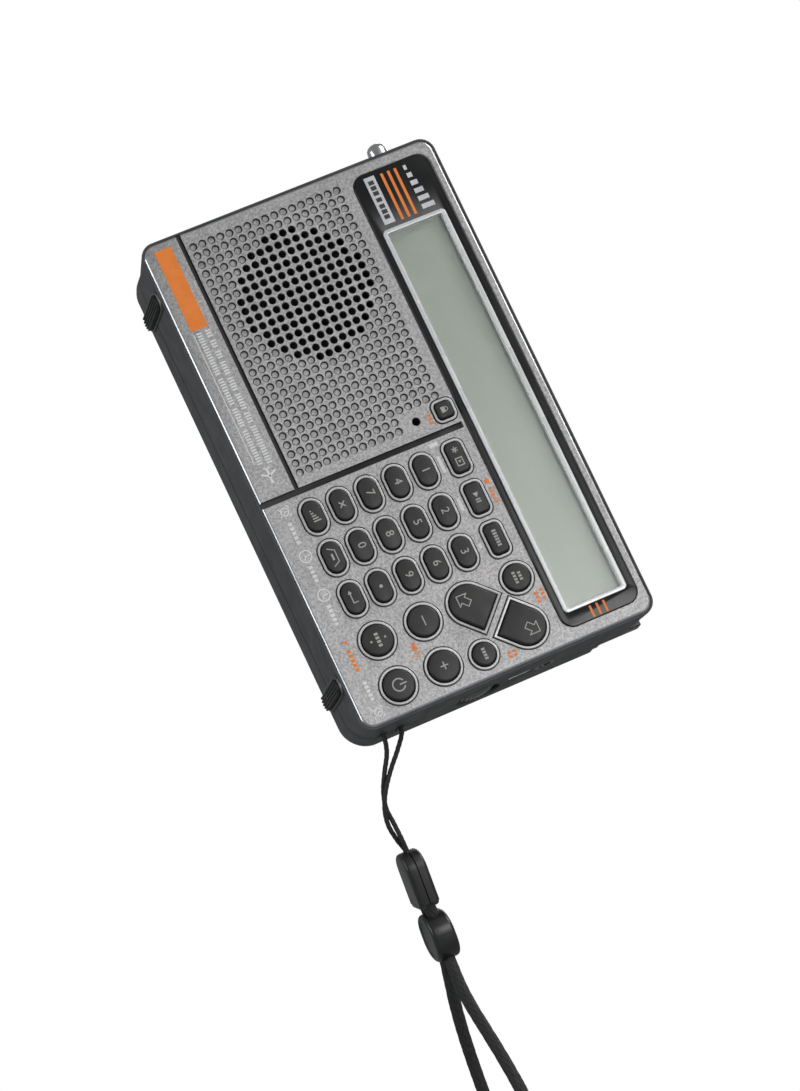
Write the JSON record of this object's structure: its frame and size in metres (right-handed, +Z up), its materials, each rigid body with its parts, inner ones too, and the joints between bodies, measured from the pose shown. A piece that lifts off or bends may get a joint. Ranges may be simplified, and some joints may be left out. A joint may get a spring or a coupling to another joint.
{
  "type": "shortwave receiver",
  "caption": "Pocket multi-band shortwave receiver with dotted speaker panel, wide display, sprung keypad, side dial, folding telescopic aerial, back stand and wrist strap.",
  "frame": {"origin": "centre of the bounding box of the receiver without its strap, on the surface that its two rubber feet stand on", "axes": "+Z up towards the display's side, front panel facing -Y, +X to the right when facing the panel"},
  "size_m": [0.2707, 0.0528, 0.0838],
  "materials": {
    "case_plastic": "fine-textured graphite plastic, satin",
    "silver_paint": "fine speckled silver-grey paint, satin",
    "gloss_black": "polished black",
    "silver_trim": "bright silver, satin",
    "clear_window": "clear acrylic",
    "display_glass": "grey-green liquid crystal glass, blank",
    "silicone": "matte",
    "circuit_board": "green solder mask",
    "pressed_steel": "satin zinc",
    "speaker_paper": "pressed paper",
    "ferrite": "dull grey-brown",
    "copper_wire": "enamelled wire",
    "battery_wrap": "plain printed wrap",
    "gold_contact": "plated spring strip",
    "foot_rubber": "ribbed",
    "screw_steel": "black zinc",
    "black_moulding": "satin",
    "port_steel": "nickel plated",
    "wheel_plastic": "knurled",
    "aerial_chrome": "polished plating",
    "key_rubber": "charcoal, satin",
    "strap_cord": "braided nylon",
    "strap_moulding": "satin"
  },
  "bodies": {
    "receiver": {"front_case": "case_plastic", "face_plate": "silver_paint", "display_bezel": "gloss_black", "lcd_frame": "silver_trim", "display_lens": "clear_window", "lcd_module": "display_glass", "keypad_mat": "silicone", "main_board": "circuit_board", "speaker_frame": "pressed_steel", "speaker_cone": "speaker_paper", "ferrite_rod": "ferrite", "ferrite_coil": "copper_wire", "rear_cover": "case_plastic", "battery_pack": "battery_wrap", "battery_contacts": "gold_contact", "rubber_feet": "foot_rubber", "screws": "screw_steel", "headphone_jack": "black_moulding", "usb_port": "port_steel", "wheel_encoder": "port_steel", "antenna_bracket": "black_moulding", "strap_string": "strap_cord", "strap_clip": "strap_moulding", "strap_slider": "strap_moulding", "wrist_loop": "strap_cord"},
    "battery_cover": {"battery_cover": "case_plastic"},
    "kickstand": {"kickstand": "case_plastic"},
    "tuning_wheel": {"tuning_wheel": "wheel_plastic"},
    "antenna_swivel": {"antenna_swivel": "black_moulding"},
    "antenna_tube_1": {"antenna_tube_1": "aerial_chrome"},
    "antenna_tube_2": {"antenna_tube_2": "aerial_chrome"},
    "antenna_tube_3": {"antenna_tube_3": "aerial_chrome"},
    "antenna_tube_4": {"antenna_tube_4": "aerial_chrome"},
    "key_lock": {"key_lock": "key_rubber"},
    "key_light": {"key_light": "key_rubber"},
    "key_play": {"key_play": "key_rubber"},
    "key_preset": {"key_preset": "key_rubber"},
    "key_1": {"key_1": "key_rubber"},
    "key_2": {"key_2": "key_rubber"},
    "key_3": {"key_3": "key_rubber"},
    "key_4": {"key_4": "key_rubber"},
    "key_5": {"key_5": "key_rubber"},
    "key_6": {"key_6": "key_rubber"},
    "key_7": {"key_7": "key_rubber"},
    "key_8": {"key_8": "key_rubber"},
    "key_9": {"key_9": "key_rubber"},
    "key_delete": {"key_delete": "key_rubber"},
    "key_0": {"key_0": "key_rubber"},
    "key_point": {"key_point": "key_rubber"},
    "key_squelch": {"key_squelch": "key_rubber"},
    "key_bandwidth": {"key_bandwidth": "key_rubber"},
    "key_enter": {"key_enter": "key_rubber"},
    "key_sub_band": {"key_sub_band": "key_rubber"},
    "key_mode": {"key_mode": "key_rubber"},
    "key_minus": {"key_minus": "key_rubber"},
    "key_plus": {"key_plus": "key_rubber"},
    "key_band": {"key_band": "key_rubber"},
    "key_power": {"key_power": "key_rubber"},
    "key_arrow_up": {"key_arrow_up": "key_rubber"},
    "key_arrow_down": {"key_arrow_down": "key_rubber"}
  },
  "joints": [
    {"name": "key_lock_press", "type": "slide", "parent": "receiver", "child": "key_lock", "axis": [0, 1, 0], "range_m": [0, 0.0006], "stiffness_N_per_m": 1000},
    {"name": "key_light_press", "type": "slide", "parent": "receiver", "child": "key_light", "axis": [0, 1, 0], "range_m": [0, 0.0006], "stiffness_N_per_m": 1000},
    {"name": "key_play_press", "type": "slide", "parent": "receiver", "child": "key_play", "axis": [0, 1, 0], "range_m": [0, 0.0006], "stiffness_N_per_m": 1000},
    {"name": "key_preset_press", "type": "slide", "parent": "receiver", "child": "key_preset", "axis": [0, 1, 0], "range_m": [0, 0.0006], "stiffness_N_per_m": 1000},
    {"name": "key_1_press", "type": "slide", "parent": "receiver", "child": "key_1", "axis": [0, 1, 0], "range_m": [0, 0.0006], "stiffness_N_per_m": 1000},
    {"name": "key_2_press", "type": "slide", "parent": "receiver", "child": "key_2", "axis": [0, 1, 0], "range_m": [0, 0.0006], "stiffness_N_per_m": 1000},
    {"name": "key_3_press", "type": "slide", "parent": "receiver", "child": "key_3", "axis": [0, 1, 0], "range_m": [0, 0.0006], "stiffness_N_per_m": 1000},
    {"name": "key_4_press", "type": "slide", "parent": "receiver", "child": "key_4", "axis": [0, 1, 0], "range_m": [0, 0.0006], "stiffness_N_per_m": 1000},
    {"name": "key_5_press", "type": "slide", "parent": "receiver", "child": "key_5", "axis": [0, 1, 0], "range_m": [0, 0.0006], "stiffness_N_per_m": 1000},
    {"name": "key_6_press", "type": "slide", "parent": "receiver", "child": "key_6", "axis": [0, 1, 0], "range_m": [0, 0.0006], "stiffness_N_per_m": 1000},
    {"name": "key_7_press", "type": "slide", "parent": "receiver", "child": "key_7", "axis": [0, 1, 0], "range_m": [0, 0.0006], "stiffness_N_per_m": 1000},
    {"name": "key_8_press", "type": "slide", "parent": "receiver", "child": "key_8", "axis": [0, 1, 0], "range_m": [0, 0.0006], "stiffness_N_per_m": 1000},
    {"name": "key_9_press", "type": "slide", "parent": "receiver", "child": "key_9", "axis": [0, 1, 0], "range_m": [0, 0.0006], "stiffness_N_per_m": 1000},
    {"name": "key_delete_press", "type": "slide", "parent": "receiver", "child": "key_delete", "axis": [0, 1, 0], "range_m": [0, 0.0006], "stiffness_N_per_m": 1000},
    {"name": "key_0_press", "type": "slide", "parent": "receiver", "child": "key_0", "axis": [0, 1, 0], "range_m": [0, 0.0006], "stiffness_N_per_m": 1000},
    {"name": "key_point_press", "type": "slide", "parent": "receiver", "child": "key_point", "axis": [0, 1, 0], "range_m": [0, 0.0006], "stiffness_N_per_m": 1000},
    {"name": "key_squelch_press", "type": "slide", "parent": "receiver", "child": "key_squelch", "axis": [0, 1, 0], "range_m": [0, 0.0006], "stiffness_N_per_m": 1000},
    {"name": "key_bandwidth_press", "type": "slide", "parent": "receiver", "child": "key_bandwidth", "axis": [0, 1, 0], "range_m": [0, 0.0006], "stiffness_N_per_m": 1000},
    {"name": "key_enter_press", "type": "slide", "parent": "receiver", "child": "key_enter", "axis": [0, 1, 0], "range_m": [0, 0.0006], "stiffness_N_per_m": 1000},
    {"name": "key_sub_band_press", "type": "slide", "parent": "receiver", "child": "key_sub_band", "axis": [0, 1, 0], "range_m": [0, 0.0006], "stiffness_N_per_m": 1000},
    {"name": "key_mode_press", "type": "slide", "parent": "receiver", "child": "key_mode", "axis": [0, 1, 0], "range_m": [0, 0.0006], "stiffness_N_per_m": 1000},
    {"name": "key_minus_press", "type": "slide", "parent": "receiver", "child": "key_minus", "axis": [0, 1, 0], "range_m": [0, 0.0006], "stiffness_N_per_m": 1000},
    {"name": "key_plus_press", "type": "slide", "parent": "receiver", "child": "key_plus", "axis": [0, 1, 0], "range_m": [0, 0.0006], "stiffness_N_per_m": 1000},
    {"name": "key_band_press", "type": "slide", "parent": "receiver", "child": "key_band", "axis": [0, 1, 0], "range_m": [0, 0.0006], "stiffness_N_per_m": 1000},
    {"name": "key_power_press", "type": "slide", "parent": "receiver", "child": "key_power", "axis": [0, 1, 0], "range_m": [0, 0.0006], "stiffness_N_per_m": 1000},
    {"name": "key_arrow_up_press", "type": "slide", "parent": "receiver", "child": "key_arrow_up", "axis": [0, 1, 0], "range_m": [0, 0.0006], "stiffness_N_per_m": 1000},
    {"name": "key_arrow_down_press", "type": "slide", "parent": "receiver", "child": "key_arrow_down", "axis": [0, 1, 0], "range_m": [0, 0.0006], "stiffness_N_per_m": 1000},
    {"name": "tuning_wheel_turn", "type": "hinge", "parent": "receiver", "child": "tuning_wheel", "pos_m": [0.05955, 0.0006, 0.03565], "axis": [0, 1, 0], "continuous": true},
    {"name": "kickstand_swing", "type": "hinge", "parent": "receiver", "child": "kickstand", "pos_m": [0.0304, 0.0138, 0.06065], "axis": [1, 0, 0], "range_deg": [0, 60]},
    {"name": "battery_cover_lift", "type": "slide", "parent": "receiver", "child": "battery_cover", "axis": [0, 1, 0], "range_m": [0, 0.02]},
    {"name": "antenna_swing", "type": "hinge", "parent": "receiver", "child": "antenna_swivel", "pos_m": [0.0629, 0.0098, 0.07685], "axis": [0, 1, 0], "range_deg": [0, 180]},
    {"name": "antenna_tilt", "type": "hinge", "parent": "antenna_swivel", "child": "antenna_tube_1", "pos_m": [0.0629, 0.0098, 0.07685], "axis": [0, 0, -1], "range_deg": [0, 90]},
    {"name": "antenna_tube_2_pull", "type": "slide", "parent": "antenna_tube_1", "child": "antenna_tube_2", "axis": [-1, 0, 0], "range_m": [0, 0.095]},
    {"name": "antenna_tube_3_pull", "type": "slide", "parent": "antenna_tube_2", "child": "antenna_tube_3", "axis": [-1, 0, 0], "range_m": [0, 0.095]},
    {"name": "antenna_tube_4_pull", "type": "slide", "parent": "antenna_tube_3", "child": "antenna_tube_4", "axis": [-1, 0, 0], "range_m": [0, 0.095]}
  ]
}
